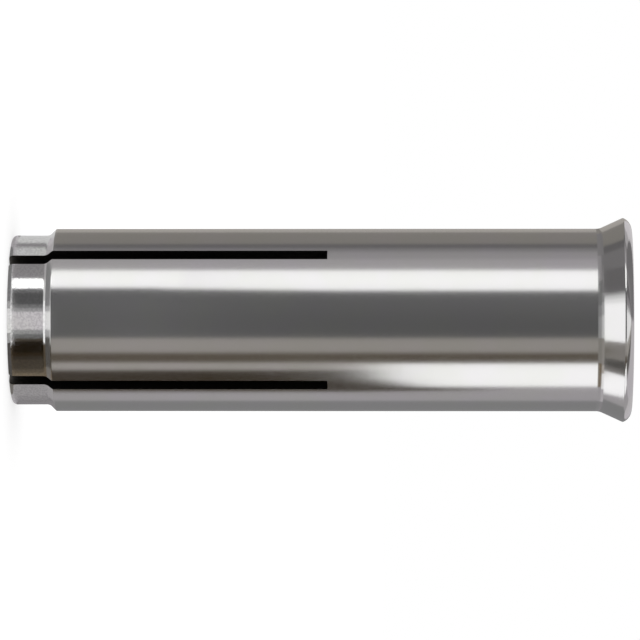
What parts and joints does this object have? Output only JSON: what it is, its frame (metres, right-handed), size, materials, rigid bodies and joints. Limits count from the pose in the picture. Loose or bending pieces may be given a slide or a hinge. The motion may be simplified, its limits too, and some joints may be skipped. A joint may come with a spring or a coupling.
{
  "type": "drop-in anchor",
  "caption": "Slotted steel expansion sleeve with a flared lip and internal thread, holding a sliding cone plug, for a bolt in a drilled hole.",
  "frame": {"origin": "centre of the tip's end face, on which the anchor stands", "axes": "+Z along the axis from the slotted tip to the threaded mouth; the four slots lie at 45 degrees to X and Y"},
  "size_m": [0.0132, 0.0132, 0.04],
  "materials": {
    "plated_steel": "bright zinc plating over fine turning marks",
    "plug_steel": "plain turned steel"
  },
  "bodies": {
    "sleeve_body": {"sleeve": "plated_steel"},
    "plug_body": {"expander_plug": "plug_steel"}
  },
  "joints": [
    {"name": "plug_drive", "type": "slide", "parent": "sleeve_body", "child": "plug_body", "axis": [0, 0, -1], "range_m": [0, 0.0067]}
  ]
}
